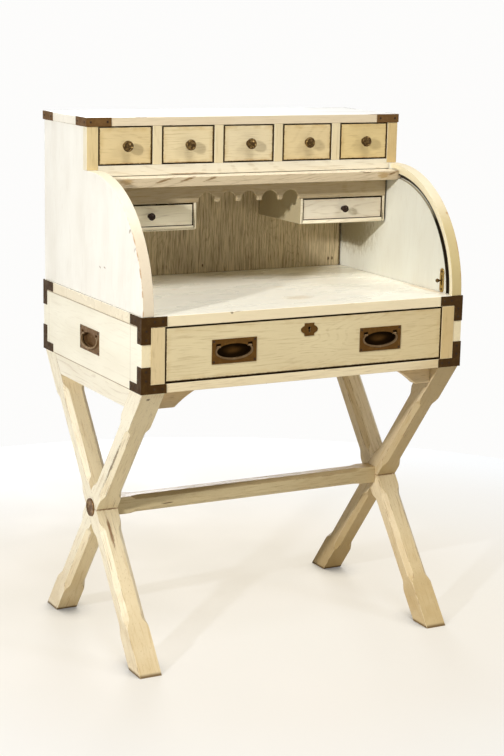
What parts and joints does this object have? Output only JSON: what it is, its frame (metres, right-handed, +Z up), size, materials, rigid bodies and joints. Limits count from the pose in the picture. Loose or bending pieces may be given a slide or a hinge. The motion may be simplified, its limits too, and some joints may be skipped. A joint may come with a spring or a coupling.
{
  "type": "roll top secretary desk",
  "caption": "Campaign-style secretary desk on crossed legs, with a roll top, an upper row of small drawers, a scalloped gallery, a wide drawer and brass corners.",
  "frame": {"origin": "on the floor under the middle of the desk", "axes": "+X to the right end seen from the front, +Y to the back, +Z up"},
  "size_m": [0.7758, 0.5292, 1.1275],
  "materials": {
    "ivory_oak": "ivory paint worn over open oak grain, satin",
    "tan_oak": "cream paint rubbed back to tan oak, satin",
    "drawer_wood": "plain unpainted wood",
    "panel_wood": "brown-grey washed oak",
    "antique_brass": "antique dark brass",
    "dark_brass": "blackened brass",
    "lock_steel": "plain",
    "canvas": "plain woven canvas"
  },
  "bodies": {
    "desk": {"case_side_right": "ivory_oak", "case_side_left": "ivory_oak", "writing_slab": "ivory_oak", "top_board": "ivory_oak", "upper_side_right": "ivory_oak", "upper_side_left": "ivory_oak", "shelf": "ivory_oak", "top_dividers": "ivory_oak", "gallery_top": "ivory_oak", "tambour_slats": "ivory_oak", "leg_right_front_foot": "tan_oak", "leg_right_back_foot": "tan_oak", "leg_left_front_foot": "tan_oak", "leg_left_back_foot": "tan_oak", "leg_rails": "tan_oak", "stretcher": "tan_oak", "knee_brackets": "tan_oak", "front_frame": "tan_oak", "apron": "tan_oak", "gallery_boxes": "tan_oak", "case_back": "drawer_wood", "case_bottom": "drawer_wood", "drawer_runners": "drawer_wood", "outer_back": "drawer_wood", "back_panel": "panel_wood", "cross_bolts": "antique_brass", "case_brackets": "antique_brass", "brass_screws": "antique_brass", "handle_plates": "antique_brass", "top_straps": "antique_brass", "catch_plate": "antique_brass", "tambour_canvas": "canvas"},
    "main_drawer": {"drawer_front": "tan_oak", "drawer_box": "drawer_wood", "drawer_bottom": "drawer_wood", "pull_plates": "antique_brass", "pull_screws": "antique_brass", "escutcheon": "antique_brass", "lock_case": "lock_steel"},
    "pull_bail_left": {"pull_bail_left": "antique_brass"},
    "pull_bail_right": {"pull_bail_right": "antique_brass"},
    "lock_bolt": {"lock_bolt": "lock_steel"},
    "handle_bail_left": {"handle_bail_left": "antique_brass"},
    "handle_bail_right": {"handle_bail_right": "antique_brass"},
    "roll": {"roll_rail": "ivory_oak"},
    "catch_bolt": {"catch_bolt": "antique_brass"},
    "top_drawer_1": {"top_drawer_1": "tan_oak", "top_knob_1": "antique_brass"},
    "top_drawer_2": {"top_drawer_2": "tan_oak", "top_knob_2": "antique_brass"},
    "top_drawer_3": {"top_drawer_3": "tan_oak", "top_knob_3": "antique_brass"},
    "top_drawer_4": {"top_drawer_4": "tan_oak", "top_knob_4": "antique_brass"},
    "top_drawer_5": {"top_drawer_5": "tan_oak", "top_knob_5": "antique_brass"},
    "small_drawer_left": {"small_drawer_left": "tan_oak", "small_knob_left": "dark_brass"},
    "small_drawer_right": {"small_drawer_right": "tan_oak", "small_knob_right": "dark_brass"}
  },
  "joints": [
    {"name": "roll_top", "type": "hinge", "parent": "desk", "child": "roll", "pos_m": [0, 0, 0.756], "axis": [1, 0, 0], "range_deg": [0, 84.2], "deforming": ["tambour_slats", "tambour_canvas"]},
    {"name": "main_drawer", "type": "slide", "parent": "desk", "child": "main_drawer", "axis": [0, -1, 0], "range_m": [0, 0.36]},
    {"name": "pull_bail_left", "type": "hinge", "parent": "main_drawer", "child": "pull_bail_left", "pos_m": [-0.1745, -0.2622, 0.6845], "axis": [-1, 0, 0], "range_deg": [0, 90]},
    {"name": "pull_bail_right", "type": "hinge", "parent": "main_drawer", "child": "pull_bail_right", "pos_m": [0.1745, -0.2622, 0.6845], "axis": [-1, 0, 0], "range_deg": [0, 90]},
    {"name": "lock_bolt", "type": "slide", "parent": "main_drawer", "child": "lock_bolt", "axis": [0, 0, 1], "range_m": [0, 0.01]},
    {"name": "handle_bail_left", "type": "hinge", "parent": "desk", "child": "handle_bail_left", "pos_m": [-0.3802, 0, 0.674], "axis": [0, 1, 0], "range_deg": [-12, 78]},
    {"name": "handle_bail_right", "type": "hinge", "parent": "desk", "child": "handle_bail_right", "pos_m": [0.3802, 0, 0.674], "axis": [0, -1, 0], "range_deg": [-12, 78]},
    {"name": "top_drawer_1", "type": "slide", "parent": "desk", "child": "top_drawer_1", "axis": [0, -1, 0], "range_m": [0, 0.15]},
    {"name": "top_drawer_2", "type": "slide", "parent": "desk", "child": "top_drawer_2", "axis": [0, -1, 0], "range_m": [0, 0.15]},
    {"name": "top_drawer_3", "type": "slide", "parent": "desk", "child": "top_drawer_3", "axis": [0, -1, 0], "range_m": [0, 0.15]},
    {"name": "top_drawer_4", "type": "slide", "parent": "desk", "child": "top_drawer_4", "axis": [0, -1, 0], "range_m": [0, 0.15]},
    {"name": "top_drawer_5", "type": "slide", "parent": "desk", "child": "top_drawer_5", "axis": [0, -1, 0], "range_m": [0, 0.15]},
    {"name": "small_drawer_left", "type": "slide", "parent": "desk", "child": "small_drawer_left", "axis": [0, -1, 0], "range_m": [0, 0.12]},
    {"name": "small_drawer_right", "type": "slide", "parent": "desk", "child": "small_drawer_right", "axis": [0, -1, 0], "range_m": [0, 0.12]},
    {"name": "catch_bolt", "type": "slide", "parent": "desk", "child": "catch_bolt", "axis": [0, 0, 1], "range_m": [-0.008, 0.008]}
  ]
}
